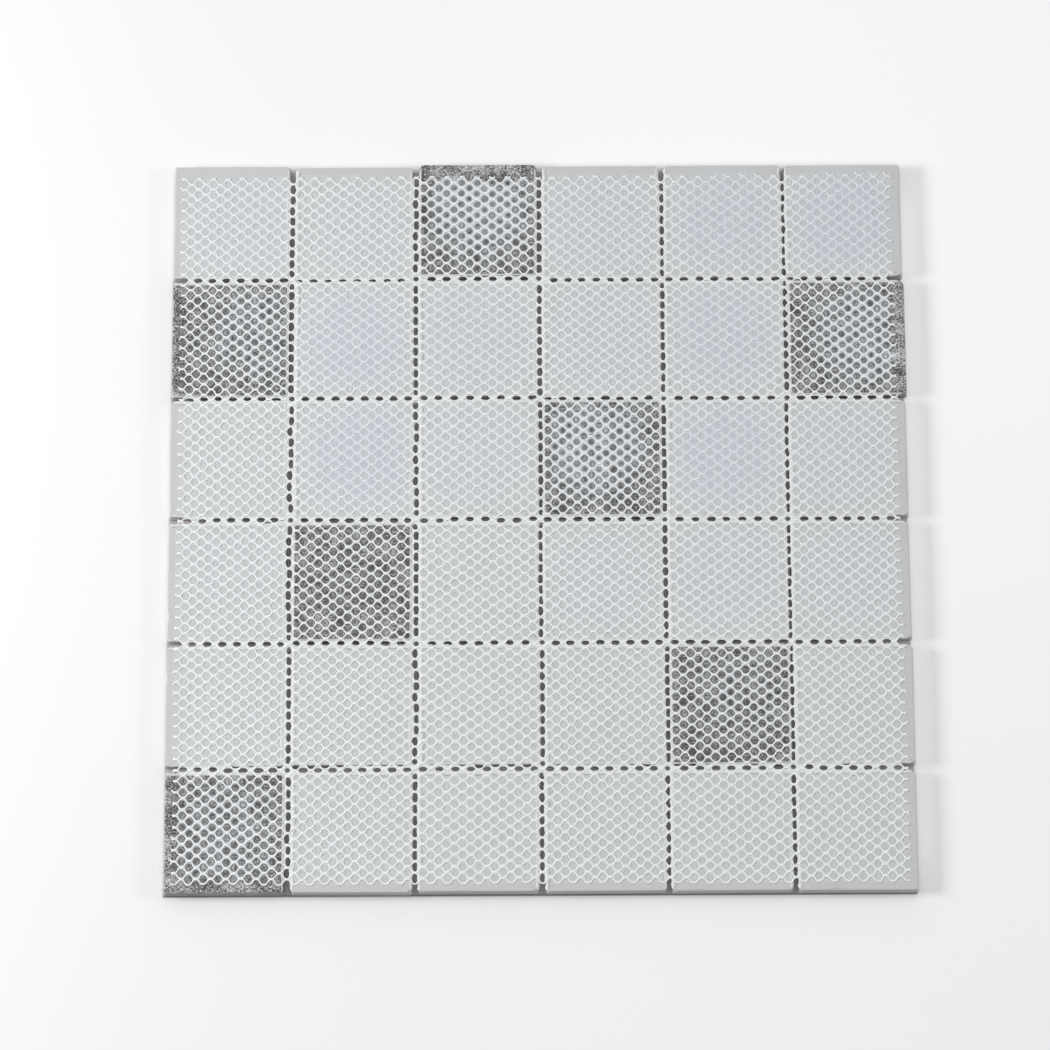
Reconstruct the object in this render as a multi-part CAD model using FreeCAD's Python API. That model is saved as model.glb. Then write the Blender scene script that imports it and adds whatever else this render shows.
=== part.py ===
import FreeCAD, Part
import math
import os
import random

from FreeCAD import Placement, Rotation, Vector

# A mosaic sheet: square porcelain chips laid face down in rows and held together by a net glued over
# their backs. The origin is on the floor, under the middle of the sheet. +Y runs from the last row
# to the first. All sizes are in millimetres and degrees.

# The sheet
rows = 6
columns = 6
joint_width = 2.0

# Chips of the dark body, by (row, column) from the first row and the left edge
dark_chips = {(1, 3), (2, 1), (2, 6), (3, 4), (4, 2), (5, 5), (6, 1)}

# Chips are laid by hand, so each sits a little off its place. The middle of the sheet has crept to the
# right and up, and two chips have slipped out of line.
laying_shift = 0.3
laying_turn = 0.25
laying_seed = 6
middle_creep_x = 1.2
middle_creep_y = 0.8
slipped_chips = {(1, 3): Vector(0, 0.5, 0), (2, 6): Vector(0.6, 0, 0)}

# One chip, with its glazed face at z = 0
chip_width = 48.0
chip_thickness = 6.0
side_draft = 8.0
corner_radius = 1.0
face_bevel_width = 0.6
face_bevel_height = 0.5

# The net, cut back from the edges of the sheet
net_side_margin = 3.8
net_end_margin = 4.2
cell_width = 6.0
cell_height = 4.44
strand_width = 0.7
strand_thickness = 0.2

# Sizes that follow from those above
chip_pitch = chip_width + joint_width
sheet_length_x = columns * chip_pitch - joint_width
sheet_length_y = rows * chip_pitch - joint_width
net_length_x = sheet_length_x - 2 * net_side_margin
net_length_y = sheet_length_y - 2 * net_end_margin


def rounded_square(side, z):
    """Closed outline of a square with rounded corners, centred on the Z axis at height z."""
    half = side / 2
    centre = half - corner_radius
    bulge = centre + corner_radius / math.sqrt(2)
    quarter = Part.Wire([
        Part.makeLine(Vector(half, -centre, z), Vector(half, centre, z)),
        Part.Arc(Vector(half, centre, z), Vector(bulge, bulge, z), Vector(centre, half, z)).toShape(),
    ])
    quarters = []
    for turn in range(4):
        copy = quarter.copy()
        copy.rotate(Vector(0, 0, z), Vector(0, 0, 1), 90 * turn)
        quarters += copy.Edges
    return Part.Wire(quarters)


def make_chip():
    """One pressed chip: a bevelled edge round the glazed face, and sides that lean in to the back."""
    side_height = chip_thickness - face_bevel_height
    set_in = side_height * math.tan(math.radians(side_draft))
    outlines = [
        rounded_square(chip_width - 2 * face_bevel_width, 0),
        rounded_square(chip_width, face_bevel_height),
        rounded_square(chip_width - 2 * set_in, chip_thickness),
    ]
    return Part.makeLoft(outlines, True, True)


def chip_place(row, column, draw):
    """Place of one chip in the grid, with the small error of laying it by hand."""
    x = (column - (columns + 1) / 2) * chip_pitch
    y = ((rows + 1) / 2 - row) * chip_pitch
    creep = Vector(
        middle_creep_x * math.cos(math.pi * x / sheet_length_x),
        middle_creep_y * math.cos(math.pi * y / sheet_length_y),
        0,
    )
    error = Vector(draw.uniform(-laying_shift, laying_shift), draw.uniform(-laying_shift, laying_shift), 0)
    slip = slipped_chips.get((row, column), Vector())
    turn = draw.uniform(-laying_turn, laying_turn)
    return Placement(Vector(x, y, 0) + creep + error + slip, Rotation(Vector(0, 0, 1), turn))


def chip_name(row, column):
    """Node name that says the colour of the chip and where it lies."""
    shade = "dark" if (row, column) in dark_chips else "light"
    return f"{shade}_chip_r{row}_c{column}"


def strand_layer(slant, z):
    """Parallel strands of the net in one direction, each passing through every knot on its way.

    slant is 1 for strands that rise to the right and -1 for strands that fall to the right.
    """
    blank = Part.makeBox(net_length_x, net_length_y, strand_thickness,
                         Vector(-net_length_x / 2, -net_length_y / 2, z))
    turn = Rotation(Vector(0, 0, 1), slant * math.degrees(math.atan2(cell_height, cell_width)))
    reach = math.hypot(net_length_x, net_length_y)
    bar = Part.makeBox(2 * reach, strand_width, strand_thickness, Vector(-reach, -strand_width / 2, z))
    half_span = (net_length_x + net_length_y * cell_width / cell_height) / 2
    count = math.floor(half_span / cell_width)
    strands = []
    for step in range(-count, count + 1):
        long_strand = bar.copy()
        long_strand.Placement = Placement(Vector(step * cell_width, 0, 0), turn)
        cut = long_strand.common(blank)
        # Scraps at the corners, shorter than one cell, fall away when the net is cut
        if cut.Solids and cut.Volume > cell_width * strand_width * strand_thickness:
            strands.append(cut.Solids[0])
    return Part.makeCompound(strands)


os.makedirs("parts", exist_ok=True)

chip_shape = make_chip()
draw = random.Random(laying_seed)
for row in range(1, rows + 1):
    for column in range(1, columns + 1):
        chip = chip_shape.copy()
        chip.Placement = chip_place(row, column, draw)
        chip.exportStep(f"parts/{chip_name(row, column)}.step")

strand_layer(1, chip_thickness).exportStep("parts/net_rising_strands.step")
strand_layer(-1, chip_thickness + strand_thickness).exportStep("parts/net_falling_strands.step")

print(f"sheet {sheet_length_x:.1f} x {sheet_length_y:.1f} mm, net {net_length_x:.1f} x {net_length_y:.1f} mm")
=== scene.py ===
import cmath
import math

import bpy
import numpy as np
from mathutils import Matrix, Vector


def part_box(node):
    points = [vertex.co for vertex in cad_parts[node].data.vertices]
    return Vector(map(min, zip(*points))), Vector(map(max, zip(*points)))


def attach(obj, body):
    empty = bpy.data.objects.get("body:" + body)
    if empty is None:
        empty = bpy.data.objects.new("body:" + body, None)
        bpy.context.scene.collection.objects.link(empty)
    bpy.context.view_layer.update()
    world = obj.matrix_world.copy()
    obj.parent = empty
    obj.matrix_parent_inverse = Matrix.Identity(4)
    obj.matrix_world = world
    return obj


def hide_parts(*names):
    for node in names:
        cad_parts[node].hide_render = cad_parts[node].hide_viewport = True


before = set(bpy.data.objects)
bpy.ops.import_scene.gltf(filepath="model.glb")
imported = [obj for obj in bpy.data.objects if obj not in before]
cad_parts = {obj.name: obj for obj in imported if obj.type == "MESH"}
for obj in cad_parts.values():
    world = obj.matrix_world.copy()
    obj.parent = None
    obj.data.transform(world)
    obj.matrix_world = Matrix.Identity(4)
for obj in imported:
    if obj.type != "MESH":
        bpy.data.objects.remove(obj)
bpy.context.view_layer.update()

MM = 0.001

# Chips, as the solids have them
ROWS = 6
COLUMNS = 6
CHIP_WIDTH = 48.0 * MM
CHIP_THICKNESS = 6.0 * MM
CHIP_PITCH = 50.0 * MM
SIDE_DRAFT = math.radians(8)
CORNER_RADIUS = 1.0 * MM
BEVEL_WIDTH = 0.6 * MM
BEVEL_HEIGHT = 0.5 * MM
BACK_HALF = CHIP_WIDTH / 2 - (CHIP_THICKNESS - BEVEL_HEIGHT) * math.tan(SIDE_DRAFT)

# The knitted net: chains of yarn run along X and meet their neighbours at knots
CELL_WIDTH = 6.0 * MM
CELL_HEIGHT = 4.44 * MM
CELLS_ACROSS = 48
CHAINS = 131
NET_SHIFT = Vector((0.35, 0.3)) * MM
NET_TOP = 144.6 * MM
NET_SKEW = 0.7 * MM
NET_WANDER = ((90, 0.35, 11), (16, 0.20, 12), (4.5, 0.13, 13))  # wavelength and reach in mm, and seed
TAIL_LENGTH = 1.0 * MM
YARN_WIDTH = 0.62 * MM
YARN_HEIGHT = 0.36 * MM
YARN_GAP = 0.34 * MM
NET_STRIPS = 6
NET_FLAT = (290.0 * MM, 289.5 * MM)

# Films of glue in the net's cells, and their holes: half their size along X and Y
FILM_REACH = (2.15 * MM, 1.85 * MM)
HOLE_REACH = (1.50 * MM, 1.66 * MM)
HOLE_RIM = 0.55 * MM
SLOT_REACH = (1.10 * MM, 1.00 * MM)
FILM_TONE = 0.72
JOINT_TONE = 0.76

# Beads of glue along the chips' back edges: how far they lean out, in millimetres, and how bright they
# are on the left, right, upper and lower side. The brightness is partly painted light: brighter facing the
# left lamp and the brighter surround above.
BEAD_REACH = (0.86, 0.70, 0.98, 0.66)
BEAD_TONE_WITH_PAINTED_LIGHT = (0.71, 0.64, 0.68, 0.63)

# Clouds of glue haze on the backs of chips: by row and column from the photo's top left, how strong
# each is and how far its middle lies from the chip's, in millimetres. The other chips have a faint one.
GLUE_CLOUDS = {
    (1, 1): (0.5, 8, 0), (1, 2): (0.25, 4, -4), (1, 3): (0.74, 0, 7), (1, 4): (0.55, 0, -3),
    (1, 5): (0.85, 2, 0), (1, 6): (0.95, 0, 0), (2, 1): (0.5, 14, 2), (2, 2): (0.9, 0, -2),
    (2, 3): (0.65, -3, 0), (2, 4): (0.5, 3, 0), (2, 5): (0.85, 0, 2), (2, 6): (0.65, 8, 0),
    (3, 1): (0.1, 6, 4), (3, 2): (0.9, 3, 2), (3, 3): (0.35, -4, 4), (3, 4): (0.74, -4, 6),
    (3, 5): (0.9, 0, 2), (3, 6): (0.4, -5, 3), (4, 1): (0.15, 4, 6), (4, 2): (0.1, 0, -8),
    (4, 4): (0.2, 0, 0), (4, 5): (0.35, 0, 4), (4, 6): (0.25, 0, 4), (5, 5): (0.3, 8, 10),
    (6, 1): (0.4, 0, 0),
}
FAINT_CLOUD = 0.06
CLOUD_CORE = 11.0 * MM
CLOUD_REACH = 34.0 * MM
GLUE_HAZE = (0.575, 0.618, 0.68, 1.0)

# The camera, from the joints' lines in the photo
CAMERA_PLACE = Vector((-5.85, -264.3, 1313.7)) * MM
CAMERA_TILT = 0.1983
CAMERA_SWING = -0.0005
CAMERA_ROLL = -0.0048
CAMERA_LENS = 114.08
SENSOR = 36.0


def wavy(x, y, wavelength, seed, waves=7):
    """Smooth random field over x and y, about -1 to 1, as a sum of plane waves."""
    draw = np.random.default_rng(seed)
    total = np.zeros(np.broadcast(x, y).shape)
    for _ in range(waves):
        heading = draw.uniform(0, 2 * math.pi)
        number = 2 * math.pi / (wavelength * draw.uniform(0.7, 1.5))
        phase = draw.uniform(0, 2 * math.pi)
        total += np.sin(number * (x * math.cos(heading) + y * math.sin(heading)) + phase)
    return total / math.sqrt(waves * 2)


def smooth(value, low, high):
    """Soft step from 0 at low to 1 at high."""
    share = np.clip((value - low) / (high - low), 0, 1)
    return share * share * (3 - 2 * share)


def add_object(name, vertices, faces, material, shaded_smooth=True):
    """A mesh object from arrays of vertices and faces."""
    mesh = bpy.data.meshes.new(name)
    mesh.from_pydata(vertices, [], faces)
    mesh.materials.append(material)
    if shaded_smooth:
        mesh.shade_smooth()
    else:
        mesh.shade_flat()
    obj = bpy.data.objects.new(name, mesh)
    bpy.context.scene.collection.objects.link(obj)
    return obj


def add_attribute(obj, name, values):
    """Stores one number for each vertex, for the material to read."""
    attribute = obj.data.attributes.new(name, "FLOAT", "POINT")
    attribute.data.foreach_set("value", np.asarray(values, np.float32))


# Shader nodes


def add_node(tree, kind, inputs=None, **settings):
    """Adds a shader node, sets its properties, and fills or links its inputs by name or number."""
    node = tree.nodes.new(kind)
    for name, value in settings.items():
        setattr(node, name, value)
    for key, value in (inputs or {}).items():
        if isinstance(value, bpy.types.NodeSocket):
            tree.links.new(value, node.inputs[key])
        else:
            node.inputs[key].default_value = value
    return node


def new_material(name, **shader_values):
    """A material with its node tree and its main shader."""
    material = bpy.data.materials.new(name)
    material.use_nodes = True
    tree = material.node_tree
    shader = tree.nodes["Principled BSDF"]
    for key, value in shader_values.items():
        shader.inputs[key.replace("_", " ")].default_value = value
    return material, tree, shader


def noise(tree, place, size, detail=2.0, roughness=0.5):
    """Noise between 0 and 1 whose features are about size across."""
    inputs = {"Vector": place, "Scale": 1 / size, "Detail": detail, "Roughness": roughness}
    return add_node(tree, "ShaderNodeTexNoise", inputs).outputs["Fac"]


def spread(tree, value, low, high, to_low=0.0, to_high=1.0):
    """Maps low..high of a value softly onto another range, and stops at its ends."""
    inputs = {"Value": value, "From Min": low, "From Max": high, "To Min": to_low, "To Max": to_high}
    return add_node(tree, "ShaderNodeMapRange", inputs, interpolation_type="SMOOTHSTEP").outputs[0]


def calc(tree, operation, *values):
    """One step of arithmetic."""
    return add_node(tree, "ShaderNodeMath", dict(enumerate(values)), operation=operation).outputs[0]


def mix(tree, factor, first, second):
    """Colour between first and second."""
    inputs = {0: factor, 6: first, 7: second}
    return add_node(tree, "ShaderNodeMix", inputs, data_type="RGBA").outputs[2]


def grey(level, tint=(1.0, 1.0, 1.0)):
    """A colour of a linear grey level, tinted."""
    return tuple(level * t for t in tint) + (1.0,)


def object_place(tree):
    """Coordinates in the part's own frame, as one vector and as X, Y and Z."""
    place = add_node(tree, "ShaderNodeTexCoord").outputs["Object"]
    parts = add_node(tree, "ShaderNodeSeparateXYZ", {0: place}).outputs
    return place, parts["X"], parts["Y"], parts["Z"]


def read(tree, name):
    """A number stored on the mesh."""
    return add_node(tree, "ShaderNodeAttribute", attribute_name=name).outputs["Fac"]


def add_bump(tree, shader, value, distance):
    """Fine relief from a value between 0 and 1."""
    bump = add_node(tree, "ShaderNodeBump", {"Height": value, "Distance": distance})
    tree.links.new(bump.outputs[0], shader.inputs["Normal"])


def within(tree, x, y, half, softness):
    """1 within a square of the sheet about its middle and 0 past it."""
    reach = calc(tree, "MAXIMUM", calc(tree, "ABSOLUTE", x), calc(tree, "ABSOLUTE", y))
    return spread(tree, reach, half - softness, half + softness, 1.0, 0.0)


# Materials


def glue_haze(tree, place, x, y):
    """Where dried glue clouds a chip's back, 0 to 1."""
    off_x = calc(tree, "SUBTRACT", x, read(tree, "cloud_x"))
    off_y = calc(tree, "SUBTRACT", y, read(tree, "cloud_y"))
    squares = calc(tree, "ADD", calc(tree, "MULTIPLY", off_x, off_x), calc(tree, "MULTIPLY", off_y, off_y))
    cloud = spread(tree, calc(tree, "SQRT", squares), CLOUD_CORE, CLOUD_REACH, 1.0, 0.0)
    ragged = spread(tree, noise(tree, place, 11 * MM, 3.0), 0.3, 0.6, 0.7, 1.0)
    return calc(tree, "MULTIPLY", calc(tree, "MULTIPLY", cloud, ragged), read(tree, "cloud_strength"))


def finish_chip(tree, shader, back, side, z, grain, relief):
    """Joins the colours of back and sides, the sides painted darker low down as shade near the floor, and
    the smoother glazed face below.
    """
    on_back = spread(tree, z, CHIP_THICKNESS - 0.25 * MM, CHIP_THICKNESS - 0.02 * MM)
    # Painted shade: the sides darken below 1.6 mm and fade back out at the bevel, standing in for the
    # shadow near the floor.
    near_floor = spread(tree, z, 1.6 * MM, 0.6 * MM)
    above_bevel = spread(tree, z, 0.05 * MM, 0.3 * MM)
    painted_contact_shade = calc(tree, "MULTIPLY", calc(tree, "MULTIPLY", near_floor, above_bevel), 0.6)
    side = mix(tree, painted_contact_shade, side, grey(0.25, (1.0, 0.95, 0.92)))
    tree.links.new(mix(tree, on_back, side, back), shader.inputs["Base Color"])
    tree.links.new(spread(tree, z, 0.2 * MM, 0.9 * MM, 0.22, 0.72), shader.inputs["Roughness"])
    add_bump(tree, shader, grain, relief)


def light_chip_material():
    """Pale grey unglazed back with fine grain, a thin coat of glue under the net, and glue haze."""
    material, tree, shader = new_material("light_chip")
    place, x, y, z = object_place(tree)
    grain = noise(tree, place, 0.5 * MM, 2.0)
    patches = spread(tree, noise(tree, place, 8 * MM, 3.0), 0.35, 0.65)
    bare_tint = (1.0, 1.0, 0.985)
    bare = mix(tree, spread(tree, grain, 0.3, 0.7), grey(0.50, bare_tint), grey(0.62, bare_tint))
    coated_tint = (0.985, 1.015, 1.005)
    coated = mix(tree, patches, grey(0.55, coated_tint), grey(0.61, coated_tint))
    under_net = calc(tree, "MULTIPLY", within(tree, x, y, NET_FLAT[0] / 2, 0.6 * MM), 0.75)
    back = mix(tree, under_net, bare, coated)
    back = mix(tree, calc(tree, "MULTIPLY", glue_haze(tree, place, x, y), 0.6), back, GLUE_HAZE)
    side = mix(tree, patches, grey(0.68, (1.0, 0.97, 0.955)), grey(0.71, (1.0, 0.98, 0.965)))
    finish_chip(tree, shader, back, side, z, grain, 0.04 * MM)
    return material


def dark_chip_material():
    """Salt-and-pepper body: dark and pale grains, blotches and smears of glue."""
    material, tree, shader = new_material("dark_chip")
    place, x, y, z = object_place(tree)
    grain = noise(tree, place, 0.75 * MM, 3.0, 0.6)
    blotches = noise(tree, place, 7 * MM, 3.0)
    level = calc(tree, "ADD", grain, calc(tree, "MULTIPLY_ADD", blotches, 0.5, -0.25))
    body = mix(tree, spread(tree, level, 0.38, 0.70), grey(0.05, (1.0, 0.98, 0.94)), grey(0.66))
    hue = noise(tree, place, 1.3 * MM, 1.0)
    body = mix(tree, spread(tree, hue, 0.55, 0.75, 0.0, 0.25), body, (0.30, 0.22, 0.18, 1.0))
    wetted = calc(tree, "MULTIPLY", within(tree, x, y, NET_FLAT[0] / 2, 0.6 * MM), 0.35)
    body = mix(tree, wetted, body, grey(0.05, (1.0, 0.98, 0.95)))
    smears = spread(tree, noise(tree, place, 5 * MM, 4.0, 0.65), 0.50, 0.64)
    smears = calc(tree, "MULTIPLY", smears, glue_haze(tree, place, x, y))
    speckled = calc(tree, "MULTIPLY", smears, spread(tree, grain, 0.36, 0.54, 0.3, 1.0))
    back = mix(tree, speckled, body, grey(0.70, (0.96, 1.0, 1.04)))
    side = mix(tree, spread(tree, blotches, 0.3, 0.7), grey(0.40), grey(0.50, (1.0, 0.98, 0.96)))
    finish_chip(tree, shader, back, side, z, grain, 0.07 * MM)
    return material


def net_material():
    """White knitted yarn, and the glue that runs out from it, in the tone and haze stored on the mesh.

    The glue is painted darker in a band round each hole, as shade at the edge of its film.
    """
    material, tree, shader = new_material("net", Roughness=0.5, Sheen_Weight=0.1)
    place = object_place(tree)[0]
    fibre = noise(tree, place, 0.25 * MM, 2.0)
    yarn_tint = (0.97, 1.0, 1.02)
    yarn = mix(tree, spread(tree, fibre, 0.3, 0.7), grey(0.82, yarn_tint), grey(0.94, yarn_tint))
    tint = mix(tree, read(tree, "haze"), (0.985, 1.01, 1.01, 1.0), (0.94, 0.995, 1.075, 1.0))
    past_rim = read(tree, "past_rim")
    # Painted shade: a dark band just outside each hole's rim, as strong as the mesh stores it.
    darker = spread(tree, past_rim, 0.0, 0.22, 0.5, 1.0)
    lighter = spread(tree, past_rim, 0.28, 0.58, 0.0, -1.0)
    painted_shade_band = calc(tree, "ADD", darker, lighter)
    tone = calc(tree, "SUBTRACT", 1.0, calc(tree, "MULTIPLY", painted_shade_band, read(tree, "painted_rim_shade")))
    tone = calc(tree, "MULTIPLY", read(tree, "tone"), tone)
    glue = add_node(tree, "ShaderNodeVectorMath", {0: tint, 1: tone}, operation="MULTIPLY").outputs[0]
    tree.links.new(mix(tree, read(tree, "film"), yarn, glue), shader.inputs["Base Color"])
    add_bump(tree, shader, fibre, 0.04 * MM)
    return material


# The chips


def chip_turn(node):
    """How far a chip is turned, from the directions that its sides face."""
    total = 0
    for face in node.data.polygons:
        if abs(face.normal.z) < 0.5:
            total += face.area * cmath.exp(4j * math.atan2(face.normal.y, face.normal.x))
    return cmath.phase(total) / 4


def chip_outline(side_steps=28, corner_steps=5):
    """Points of the chip's rounded square."""
    half = CHIP_WIDTH / 2
    centre = half - CORNER_RADIUS
    along = np.linspace(-centre, centre, side_steps, endpoint=False)
    angle = np.linspace(0, math.pi / 2, corner_steps, endpoint=False)
    x = np.concatenate([np.full(side_steps, half), centre + CORNER_RADIUS * np.cos(angle)])
    y = np.concatenate([along, centre + CORNER_RADIUS * np.sin(angle)])
    quarters = [(x, y), (-y, x), (-x, -y), (y, -x)]
    return np.concatenate([np.column_stack(q) for q in quarters])


def side_inset(z):
    """How far the leaning side stands in at height z."""
    return max(z - BEVEL_HEIGHT, 0) * math.tan(SIDE_DRAFT)


def chip_rings():
    """Height, inset and share of wear of each ring of points, from the face up to the back."""
    rings = [
        (0, BEVEL_WIDTH * 2.2, 0),
        (0, BEVEL_WIDTH * 1.1, 0),
        (0.06 * MM, BEVEL_WIDTH * 0.6, 0.2),
        (0.2 * MM, BEVEL_WIDTH * 0.25, 0.4),
        (0.45 * MM, BEVEL_WIDTH * 0.05, 0.3),
        (1.0 * MM, 0.05 * MM, 0),
    ]
    back_arris = ((0.6, 0, 0.1), (0.26, 0.01, 0.6), (0.1, 0.07, 1.0), (0.02, 0.17, 1.0), (0, 0.3, 0.6))
    for drop, extra, wear in back_arris:
        z = CHIP_THICKNESS - drop * MM
        rings.append((z, side_inset(z) + extra * MM, wear))
    rings.append((CHIP_THICKNESS, side_inset(CHIP_THICKNESS) + 0.9 * MM, 0))
    return rings


def chip_wear(count, draw):
    """How far the arris is worn back at each point of the outline: a soft ripple and a few small nicks."""
    step = np.arange(count)
    wear = np.zeros(count)
    for waves in (5, 11, 23, 41):
        wear += np.sin(2 * math.pi * waves * step / count + draw.uniform(0, 2 * math.pi)) * 0.025
    wear = np.abs(wear)
    for _ in range(draw.integers(3, 8)):
        centre = draw.uniform(0, count)
        away = np.abs((step - centre + count / 2) % count - count / 2)
        wear += draw.uniform(0.08, 0.35) * np.exp(-(away / draw.uniform(0.6, 1.6)) ** 2)
    return wear * MM


def make_chip(node_name, node, material, seed):
    """One chip with worn edges, exactly where its solid is."""
    low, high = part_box(node_name)
    middle = (low + high) / 2
    turn = chip_turn(node)
    rotation = np.array([[math.cos(turn), -math.sin(turn)], [math.sin(turn), math.cos(turn)]])
    outline = chip_outline()
    count = len(outline)
    wear = chip_wear(count, np.random.default_rng(seed))
    points = []
    rings = chip_rings()
    for z, inset, share in rings:
        shrink = 1 - (inset + share * wear) / (CHIP_WIDTH / 2)
        flat = outline * shrink[:, None] @ rotation.T
        drop = 0.4 * share * wear if z > CHIP_THICKNESS / 2 else 0 * wear
        points.append(np.column_stack([flat[:, 0] + middle.x, flat[:, 1] + middle.y, z - drop]))
    faces = [tuple(range(count))[::-1], tuple(range(count * (len(rings) - 1), count * len(rings)))]
    for ring in range(len(rings) - 1):
        for i in range(count):
            j = (i + 1) % count
            a, b = ring * count, (ring + 1) * count
            faces.append((a + i, a + j, b + j, b + i))
    return add_object(node_name.replace("chip", "tile"), np.concatenate(points), faces, material)


def make_chips():
    """All the chips, each in place of its solid, with the numbers that its material reads.

    Gives each chip with the Y of its middle.
    """
    materials = {"light": light_chip_material(), "dark": dark_chip_material()}
    chips = []
    for seed, (name, node) in enumerate(sorted(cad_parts.items())):
        if "_chip_" not in name:
            continue
        shade, row, column = read_name(name)
        chip = make_chip(name, node, materials[shade], seed)
        numbers = {
            "cloud_x": CLOUD_MIDDLES[row, column, 0],
            "cloud_y": CLOUD_MIDDLES[row, column, 1],
            "cloud_strength": CLOUD_STRENGTHS[row, column],
        }
        for key, value in numbers.items():
            add_attribute(chip, key, np.full(len(chip.data.vertices), value))
        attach(chip, "root")
        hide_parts(name)
        chips.append((chip, CHIP_CENTRES[row, column, 1]))
    return chips


# What lies under each place of the net


def read_name(name):
    """Shade, row and column that the name of a chip's node gives, counted from 0."""
    shade, _, row, column = name.split("_")
    return shade, int(row[1:]) - 1, int(column[1:]) - 1


def chip_table():
    """Centre of each chip and whether it is dark, by row and column."""
    centres = np.zeros((ROWS, COLUMNS, 2))
    dark = np.zeros((ROWS, COLUMNS))
    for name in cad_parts:
        if "_chip_" in name:
            shade, row, column = read_name(name)
            low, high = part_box(name)
            middle = (low + high) / 2
            centres[row, column] = middle.x, middle.y
            dark[row, column] = shade == "dark"
    return centres, dark


def cloud_table():
    """Middle and strength of the glue cloud on each chip, by row and column."""
    middles = CHIP_CENTRES.copy()
    strengths = np.full((ROWS, COLUMNS), FAINT_CLOUD)
    for (row, column), (strength, off_x, off_y) in GLUE_CLOUDS.items():
        middles[row - 1, column - 1] += off_x * MM, off_y * MM
        strengths[row - 1, column - 1] = strength
    return middles, strengths


CHIP_CENTRES, CHIP_DARK = chip_table()
CLOUD_MIDDLES, CLOUD_STRENGTHS = cloud_table()


def under_net(x, y):
    """Depth of each place inside a chip's back, below 0 over a joint, and the chip's row and column."""
    first_row = np.clip(np.floor((ROWS - 1) / 2 - y / CHIP_PITCH), 0, ROWS - 2).astype(int)
    first_column = np.clip(np.floor(x / CHIP_PITCH + (COLUMNS - 1) / 2), 0, COLUMNS - 2).astype(int)
    depth = np.full(x.shape, -1.0)
    row, column = first_row.copy(), first_column.copy()
    for r in (first_row, first_row + 1):
        for c in (first_column, first_column + 1):
            centre = CHIP_CENTRES[r, c]
            off = np.maximum(np.abs(x - centre[..., 0]), np.abs(y - centre[..., 1]))
            nearer = BACK_HALF - off > depth
            depth = np.where(nearer, BACK_HALF - off, depth)
            row = np.where(nearer, r, row)
            column = np.where(nearer, c, column)
    return depth, row, column


def glue_amount(x, y, depth, row, column):
    """How much glue lies beside the yarn at each place, 0 to 1."""
    middle = CLOUD_MIDDLES[row, column]
    away = np.hypot(x - middle[..., 0], y - middle[..., 1])
    cloud = 1 - smooth(away, CLOUD_CORE, CLOUD_REACH)
    ragged = np.clip(0.9 + 0.25 * wavy(x, y, 9 * MM, 31), 0.2, 1.1)
    amount = 1.15 * CLOUD_STRENGTHS[row, column] * cloud * ragged
    return np.clip(amount, 0, 1) * smooth(depth, 0, 4 * MM)


# The net


def chain_wave(phase):
    """Path of one chain across its band, -1 to 1: flat at its knots and steep between them."""
    half = np.abs((phase + 0.5) % 1 - 0.5)
    return 1 - 2 * smooth(half, 0.08, 0.42)


def joint_pulls(axis, step, first):
    """Where the even net has the cells nearest each joint across an axis, and how far each is pulled.

    step is from one row of cells to the next along the axis, and first is where one of them is.
    """
    middles = CHIP_CENTRES[..., axis].mean(axis=axis)
    joints = np.sort((middles[1:] + middles[:-1]) / 2) - NET_SHIFT[axis]
    cells = np.round((joints - first) / step) * step + first
    ends = NET_FLAT[axis] / 2
    return np.concatenate([[-ends], cells, [ends]]), np.concatenate([[0], joints - cells, [0]])


PULLS = [joint_pulls(0, CELL_WIDTH / 2, 0.0), joint_pulls(1, CELL_HEIGHT / 2, CELL_HEIGHT / 4)]


def place_net(x, y):
    """Moves points of the even net to where the laid one has them: pulled to the joints, and wandering."""
    along = x / (NET_FLAT[0] / 2)
    up = y / (NET_FLAT[1] / 2)
    moved_x = x + NET_SHIFT.x + np.interp(x, *PULLS[0]) - 0.2 * MM * up * (1 + along)
    moved_y = y + NET_SHIFT.y + 0.8 * np.interp(y, *PULLS[1])
    for wavelength, reach, seed in NET_WANDER:
        moved_x = moved_x + wavy(x, y, wavelength * MM, seed) * reach * MM
        moved_y = moved_y + wavy(x, y, wavelength * MM, seed + 10) * reach * MM
    return moved_x, moved_y


def chain_points(number):
    """Places along one chain of the net as it is cut, and how near each is to a knot."""
    in_one_cell = np.array([0.0, 0.11, 0.18, 0.32, 0.39, 0.5, 0.61, 0.68, 0.82, 0.89])
    half = CELLS_ACROSS // 2
    stations = np.concatenate([cell + in_one_cell for cell in range(-half - 1, half + 1)])
    draw = np.random.default_rng(1000 + number)
    left, right = half + (TAIL_LENGTH + draw.uniform(-0.3, 0.5, 2) * MM) / CELL_WIDTH
    stations = stations[(stations > 0.02 - left) & (stations < right - 0.02)]
    stations = np.concatenate([[-left], stations, [right]])
    wave = chain_wave(stations + 0.5 * (number % 2))
    swing = CELL_HEIGHT / 4 - YARN_GAP / 2
    x, y = place_net(stations * CELL_WIDTH, number * CELL_HEIGHT / 2 + swing * wave)
    return x, y, smooth(np.abs(wave), 0.6, 1.0)


def sag(depth):
    """How far the net and its glue hang down, from how deep inside a chip's back they are."""
    return 0.2 * MM * smooth(-depth, -0.2 * MM, 1.0 * MM)


def glue_tone(depth, row, column, light, dark):
    """Brightness of glue over a light or a dark chip, whiter where it hangs in a joint."""
    tone = np.where(CHIP_DARK[row, column] > 0, dark, light)
    return tone + (JOINT_TONE - tone) * smooth(-depth, -0.5 * MM, 0.3 * MM)


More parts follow.
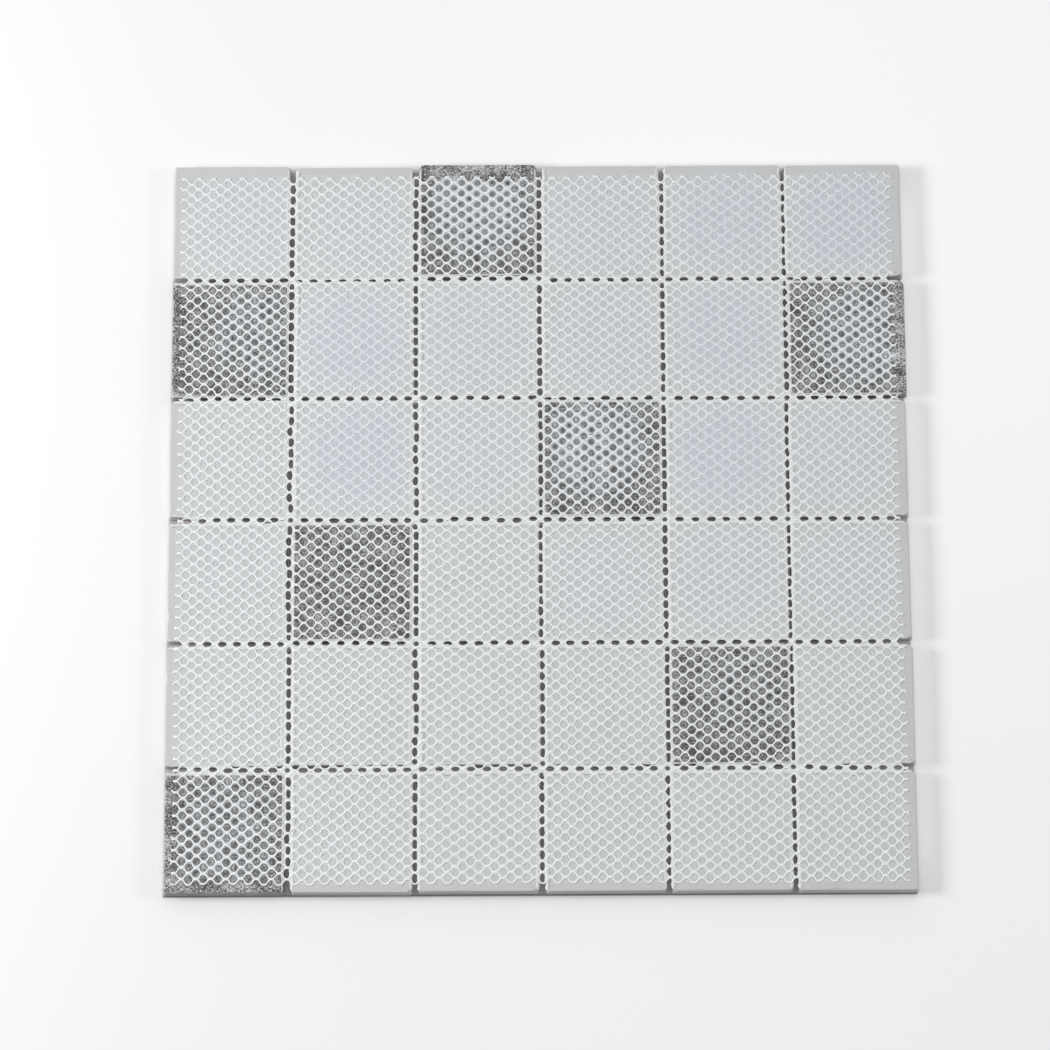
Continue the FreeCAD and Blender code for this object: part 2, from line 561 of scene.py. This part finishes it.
def yarn_mesh(x, y, knot):
    """Rings of five points along one run of yarn, glued at its feet, and the numbers for its material."""
    depth, row, column = under_net(x, y)
    direction = np.arctan2(np.gradient(y), np.gradient(x))
    side_x, side_y = -np.sin(direction), np.cos(direction)
    width = YARN_WIDTH / 2 * (1 + 0.10 * wavy(x, y, 2.5 * MM, 51) + 0.06 * knot)
    tall = YARN_HEIGHT * (0.88 + 0.14 * knot + 0.05 * wavy(x, y, 1.7 * MM, 52))
    for end in (0, -1):
        width[end] *= 1.15
        tall[end] *= 0.8
    base = CHIP_THICKNESS - 0.02 * MM - sag(depth)
    # Place across the yarn, height and share of glue of each point of a ring
    ring = [(-1.0, 0.0, 0.6), (-0.72, 0.68, 0.1), (0.0, 1.0, 0.0), (0.72, 0.68, 0.1), (1.0, 0.0, 0.6)]
    points = [np.column_stack([x + side_x * width * across, y + side_y * width * across, base + tall * up])
              for across, up, _ in ring]
    vertices = np.stack(points, axis=1).reshape(-1, 3)
    tone = np.repeat(glue_tone(depth, row, column, light=0.71, dark=0.62), len(ring))
    haze = np.repeat(glue_amount(x, y, depth, row, column), len(ring))
    film = np.tile([share for _, _, share in ring], len(x))
    film += (1 - film) * 0.55 * haze * (1 - np.repeat(CHIP_DARK[row, column], len(ring)))
    return vertices, film, tone, haze, np.ones(len(vertices)), np.zeros(len(vertices))


def tube_faces(rings, sides=5):
    """Quads round a tube of so many rings, and its two end caps."""
    a = (np.arange(rings - 1)[:, None] * sides + np.arange(sides)).ravel()
    b = (np.arange(rings - 1)[:, None] * sides + (np.arange(sides) + 1) % sides).ravel()
    faces = np.column_stack([a, a + sides, b + sides, b]).tolist()
    last = (rings - 1) * sides
    return faces + [list(range(sides)), list(range(last + sides - 1, last - 1, -1))]


def top_cut(x):
    """Where the net is cut along its upper edge."""
    return NET_TOP + NET_SKEW * x / (NET_FLAT[0] / 2) + 0.35 * MM * wavy(x, 0 * x, 5 * MM, 41)


def film_holes(cell_x, cell_y):
    """Middle and reach of the hole in each film, its share over a joint, its glue and its chip's darkness.

    On a chip a hole is nearly round. Over the middle of a joint it narrows to the slot that the beads
    leave, and moves to the middle of the slot. One that reaches past a chip's back edge is trimmed there.
    """
    depth, row, column = under_net(cell_x, cell_y)
    amount = glue_amount(cell_x, cell_y, depth, row, column)
    uneven = 1 + 0.09 * wavy(cell_x, cell_y, 3 * MM, 61)
    off = [place - CHIP_CENTRES[row, column, axis] for axis, place in enumerate((cell_x, cell_y))]
    on_joint = smooth(np.maximum(*np.abs(off)), BACK_HALF - 1.5 * MM, BACK_HALF + 0.2 * MM)
    middle, reach = [], []
    for axis, place in enumerate((cell_x, cell_y)):
        half = HOLE_REACH[axis] * (uneven + 0.24 * CHIP_DARK[row, column]) * (1 - 0.42 * amount)
        half = half + on_joint * 0.12 * HOLE_REACH[axis] - HOLE_RIM * (1 - on_joint)
        pulled = smooth(np.abs(off[axis]), CHIP_PITCH / 2 - 2.0 * MM, CHIP_PITCH / 2 - 1.0 * MM)
        half += pulled * (SLOT_REACH[axis] * uneven - half)
        past_edge = np.maximum(np.abs(off[axis]) + half - BACK_HALF - 0.4 * MM, 0) * (1 - pulled)
        side = np.sign(off[axis])
        move = pulled * np.clip(side * CHIP_PITCH / 2 - off[axis], -0.75 * MM, 0.75 * MM)
        middle.append(place + move - side * past_edge / 2)
        reach.append(half - past_edge / 2)
    return middle, reach, on_joint, amount, CHIP_DARK[row, column]


def film_mesh(chains):
    """Films of glue that round off the cells between some chains, each with a hole left in its middle.

    The last lists say how far out from its hole's rim each point lies, 0 to 1, and how much painted shade
    darkens the band round that rim.
    """
    half = CELLS_ACROSS // 2
    whole = chains[chains < CHAINS // 2 - 1]
    cells = [((cell + 0.5 + 0.5 * (number % 2)) * CELL_WIDTH, (number + 0.5) * CELL_HEIGHT / 2)
             for number in whole for cell in range(-half, half - number % 2)]
    cell_x, cell_y = place_net(*np.array(cells).T)
    holes = film_holes(cell_x, cell_y)
    middle, reach, on_joint, amount, on_dark = (np.asarray(values)[..., None] for values in holes)
    count = 12
    turns = np.linspace(0, 2 * math.pi, count, endpoint=False)
    across, up = np.cos(turns), np.sin(turns)
    x = np.stack([cell_x[:, None] + FILM_REACH[0] * across, middle[0] + reach[0] * across], axis=1)
    y = np.stack([cell_y[:, None] + FILM_REACH[1] * up, middle[1] + reach[1] * up], axis=1)
    depth, row, column = under_net(x, y)
    outer = np.array([1.0, 0.0])[None, :, None]
    z = CHIP_THICKNESS + 0.01 * MM + 0.06 * MM * outer - sag(depth)
    amount = amount[:, :, None]
    dark = 0.32 + 0.33 * outer + 0.1 * amount + 0.07 * wavy(x, y, 8 * MM, 63)
    light = (FILM_TONE - 0.08 * amount) * (1 + 0.03 * wavy(x, y, 5 * MM, 62))
    tone = glue_tone(depth, row, column, light, dark)
    # Painted shade round each hole: strongest over dark chips, none over joints, and less where glue is
    # thick.
    painted_rim_shade = ((0.32 + 0.52 * on_dark) * (1 - on_joint))[:, :, None] * (1 - 0.45 * amount)
    numbers = (outer, painted_rim_shade, amount)
    past_rim, painted_rim_shade, haze = (np.broadcast_to(values, x.shape).ravel() for values in numbers)
    vertices = np.stack([x, y, z], axis=-1).reshape(-1, 3)
    i = np.arange(count)
    j = (i + 1) % count
    quad = np.column_stack([i, j, j + count, i + count])
    faces = (quad[None] + np.arange(len(cell_x))[:, None, None] * 2 * count).reshape(-1, 4).tolist()
    return vertices, faces, np.ones(len(vertices)), tone.ravel(), haze, past_rim, painted_rim_shade


def bead_mesh(row, column):
    """Beads of glue along a chip's back edge, where the net covers it, that lean over the joints."""
    outline = chip_outline(46, 5)
    along = np.roll(outline, -1, 0) - np.roll(outline, 1, 0)
    out_x, out_y = np.column_stack([along[:, 1], -along[:, 0]]).T / np.hypot(*along.T)
    x, y = (outline * BACK_HALF / (CHIP_WIDTH / 2) + CHIP_CENTRES[row, column]).T
    on_dark = CHIP_DARK[row, column]
    towards = [np.maximum(out, 0) ** 2 for out in (-out_x, out_x, out_y, -out_y)]
    # Painted light: each bead is brighter where it faces left or up, and darker where it faces right or
    # down.
    tone = sum(share * level for share, level in zip(towards, BEAD_TONE_WITH_PAINTED_LIGHT))
    tone = tone + 0.05 * wavy(x, y, 2 * MM, 72) - 0.08 * on_dark
    reach = sum(share * length for share, length in zip(towards, BEAD_REACH)) * MM
    reach = reach * np.clip(1 + 0.36 * wavy(x, y, 3.2 * MM, 71 + row + 7 * column), 0.3, 1.7)
    # Corners gather more glue
    reach = reach * (1 + 1.4 * np.abs(out_x * out_y))
    inner = 0.25 + 0.7 * np.clip(0.4 + 0.7 * wavy(x, y, 4.5 * MM, 73), 0, 1)
    inner = inner * (1 + 0.8 * np.maximum(-out_x, 0))
    inner = np.where(on_dark > 0, 0.2, inner) * MM

    # None past the net, and none on the sheet's own edges
    covered = smooth(147.9 * MM - np.maximum(np.abs(x), np.abs(y)), 0, 1.2 * MM)
    ends = (column == 0, column == COLUMNS - 1, row == 0, row == ROWS - 1)
    outwards = [end * out for end, out in zip(ends, (-out_x, out_x, out_y, -out_y))]
    covered *= 1 - smooth(np.max(outwards, axis=0), 0.3, 0.9)
    start = int(np.argmin(covered))
    order = (start + np.arange(len(x) + 1)) % len(x)
    order = order[(covered[order] > 0) | (covered.min() > 0)]
    values = (x, y, out_x, out_y, tone, reach * covered, inner * covered)
    x, y, out_x, out_y, tone, reach, inner = (v[order] for v in values)

    # Place outwards from the back's edge, height and brightness of each point of a ring; the points that
    # hang down into the joint are painted darker, as shade
    ring = [(-inner, 0.002, 1.0), (-0.1 * inner, 0.025, 1.0), (0.6 * reach, -0.06, 1.0), (reach, -0.3, 0.8),
            (0.2 * reach, -0.75, 0.45)]
    level = np.full(len(x), CHIP_THICKNESS)
    points = [np.column_stack([x + out_x * off, y + out_y * off, level + up * MM]) for off, up, _ in ring]
    vertices = np.stack(points, axis=1).reshape(-1, 3)
    tones_with_painted_shade = (tone[:, None] * [share for _, _, share in ring]).ravel()
    faces = [face[::-1] for face in tube_faces(len(x))]
    nothing = np.zeros(len(vertices))
    return vertices, faces, nothing + 1, tones_with_painted_shade, nothing, nothing, nothing


def bead_meshes(chains):
    """The beads of the chips whose middles lie within some chains of the net."""
    low, high = (place_net(0.0, end * CELL_HEIGHT / 2)[1] for end in (chains[0] - 0.5, chains[-1] + 0.5))
    return [bead_mesh(row, column) for row in range(ROWS) for column in range(COLUMNS)
            if low <= CHIP_CENTRES[row, column][1] < high]


def make_net_strip(strip, chains, material):
    """All the chains of one strip of the net, and their glue, as one mesh.

    Each part of it is a list of vertices, a list of faces, and the five numbers of each vertex.
    """
    meshes = []
    for number in chains:
        x, y, knot = chain_points(number)
        inside = y < top_cut(x)
        edges = np.flatnonzero(np.diff(np.concatenate([[0], inside.astype(int), [0]])))
        for start, end in zip(edges[::2], edges[1::2]):
            if end - start >= 3:
                run = slice(start, end)
                vertices, *numbers = yarn_mesh(x[run], y[run], knot[run])
                meshes.append((vertices, tube_faces(end - start), *numbers))
    meshes += [film_mesh(chains), *bead_meshes(chains)]
    faces, first = [], 0
    for mesh in meshes:
        faces += [[first + v for v in face] for face in mesh[1]]
        first += len(mesh[0])
    net = add_object(f"net_strip_{strip}", np.concatenate([m[0] for m in meshes]), faces, material)
    for name, column in (("film", 2), ("tone", 3), ("haze", 4), ("past_rim", 5), ("painted_rim_shade", 6)):
        add_attribute(net, name, np.concatenate([m[column] for m in meshes]))
    return net


def make_net(chips):
    """The knitted net, in strips of chains that run along X, laid on the chips."""
    material = net_material()
    numbers = np.array_split(np.arange(CHAINS) - CHAINS // 2, NET_STRIPS)
    for strip, chains in enumerate(numbers, 1):
        net = make_net_strip(strip, chains, material)
        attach(net, "root")
        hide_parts("net_rising_strands", "net_falling_strands")


# Floor, light and camera


def floor_material():
    """A pale floor, painted darker under the sheet as shade, that glows a little so that its shadows stay
    light.

    In the photo the sheet's own shadow is darkest along its lower edge, and light comes from the left.
    """
    material, tree, shader = new_material("floor", Roughness=0.9, Specular_IOR_Level=0.0)
    camera_ray = add_node(tree, "ShaderNodeLightPath").outputs["Is Camera Ray"]
    x, y = object_place(tree)[1:3]
    from_middle_x = calc(tree, "ABSOLUTE", x)
    from_middle_y = calc(tree, "ABSOLUTE", y)
    edge = 148.6 * MM

    # Painted shade: for the camera, the floor is a little darker towards the last row.
    seen_with_painted_falloff = mix(tree, spread(tree, y, -0.25, 0.2), grey(0.87), grey(0.905, (0.995, 1.0, 1.0)))
    pale = mix(tree, camera_ray, grey(0.45), seen_with_painted_falloff)
    # Painted shade: the floor under the sheet, seen through the joints, is darker, and darkest in a thin
    # band just past the sheet's lower edge as a contact shadow.
    under_sheet = within(tree, x, calc(tree, "ADD", y, 0.8 * MM), edge, 0.3 * MM)
    in_joints = spread(tree, y, -148.9 * MM, -148.5 * MM)
    painted_shade_under_sheet = mix(tree, in_joints, grey(0.24), grey(0.50, (1.0, 0.95, 0.93)))
    tree.links.new(mix(tree, under_sheet, pale, painted_shade_under_sheet), shader.inputs["Base Color"])

    past_side = spread(tree, from_middle_x, edge, 149.2 * MM)
    past_end = spread(tree, from_middle_y, 149.0 * MM, 153.0 * MM)
    past_right = spread(tree, x, edge, 149.2 * MM)
    # Painted light: the floor glows more just right of the sheet, lightening its shadow there.
    near = calc(tree, "MULTIPLY", past_right, spread(tree, x, 150 * MM, 160 * MM, 0.09, 0.0))
    near = calc(tree, "MULTIPLY", near, spread(tree, from_middle_y, 125 * MM, 150 * MM, 1.0, 0.0))
    wide = spread(tree, x, -0.18, 0.12, 0.0, spread(tree, y, -0.15, 0.15, 0.058, 0.095))
    glow = calc(tree, "MULTIPLY", calc(tree, "MAXIMUM", past_side, past_end), calc(tree, "ADD", wide, near))
    # Painted light: a faint glow in the floor under the joints, seen only by the camera.
    glow = calc(tree, "MULTIPLY_ADD", calc(tree, "MULTIPLY", under_sheet, in_joints), 0.045, glow)
    shader.inputs["Emission Color"].default_value = (1.0, 1.0, 1.0, 1.0)
    tree.links.new(calc(tree, "MULTIPLY", glow, camera_ray), shader.inputs["Emission Strength"])
    return material


def lay_floor():
    """The floor under the sheet."""
    size = 3.0
    corners = [(-size, -size, 0), (size, -size, 0), (size, size, 0), (-size, size, 0)]
    add_object("floor", corners, [(0, 1, 2, 3)], floor_material(), shaded_smooth=False)


def make_lamp(name, azimuth, elevation, distance, size, energy):
    """A soft rectangular lamp that faces the sheet."""
    lamp = bpy.data.lights.new(name, "AREA")
    lamp.shape = "RECTANGLE"
    lamp.size, lamp.size_y = size
    lamp.energy = energy
    obj = bpy.data.objects.new(name, lamp)
    azimuth, elevation = math.radians(azimuth), math.radians(elevation)
    level = math.cos(elevation)
    toward = Vector((math.cos(azimuth) * level, math.sin(azimuth) * level, math.sin(elevation)))
    obj.location = toward * distance
    obj.rotation_euler = toward.to_track_quat("Z", "Y").to_euler()
    bpy.context.scene.collection.objects.link(obj)


def make_lights():
    """A pale surround that is dimmer towards the last row, and soft lamps low at both sides."""
    world = bpy.data.worlds.new("surround")
    bpy.context.scene.world = world
    world.use_nodes = True
    tree = world.node_tree
    background = tree.nodes["Background"]
    camera_ray = add_node(tree, "ShaderNodeLightPath").outputs["Is Camera Ray"]
    direction = add_node(tree, "ShaderNodeTexCoord").outputs["Generated"]
    north = add_node(tree, "ShaderNodeSeparateXYZ", {0: direction}).outputs["Y"]
    lit = spread(tree, north, -1.0, 1.0, 0.30, 0.84)
    tree.links.new(mix(tree, camera_ray, lit, grey(0.93)), background.inputs["Color"])
    make_lamp("left", 180, 29, 1.25, (0.4, 0.3), 10.3)
    make_lamp("right", 0, 29, 1.4, (0.4, 0.3), 3.7)


def make_camera():
    """The photo's viewpoint: nearly straight down, from the last row's side."""
    data = bpy.data.cameras.new("camera")
    data.lens = CAMERA_LENS
    data.sensor_width = SENSOR
    camera = bpy.data.objects.new("camera", data)
    turn = (Matrix.Rotation(CAMERA_SWING, 4, "Y") @ Matrix.Rotation(CAMERA_TILT, 4, "X")
            @ Matrix.Rotation(CAMERA_ROLL, 4, "Z"))
    camera.matrix_world = Matrix.Translation(CAMERA_PLACE) @ turn
    bpy.context.scene.collection.objects.link(camera)
    bpy.context.scene.camera = camera


# The scene

bpy.context.scene.view_settings.view_transform = "Standard"
make_camera()
lay_floor()
make_lights()
make_net(make_chips())
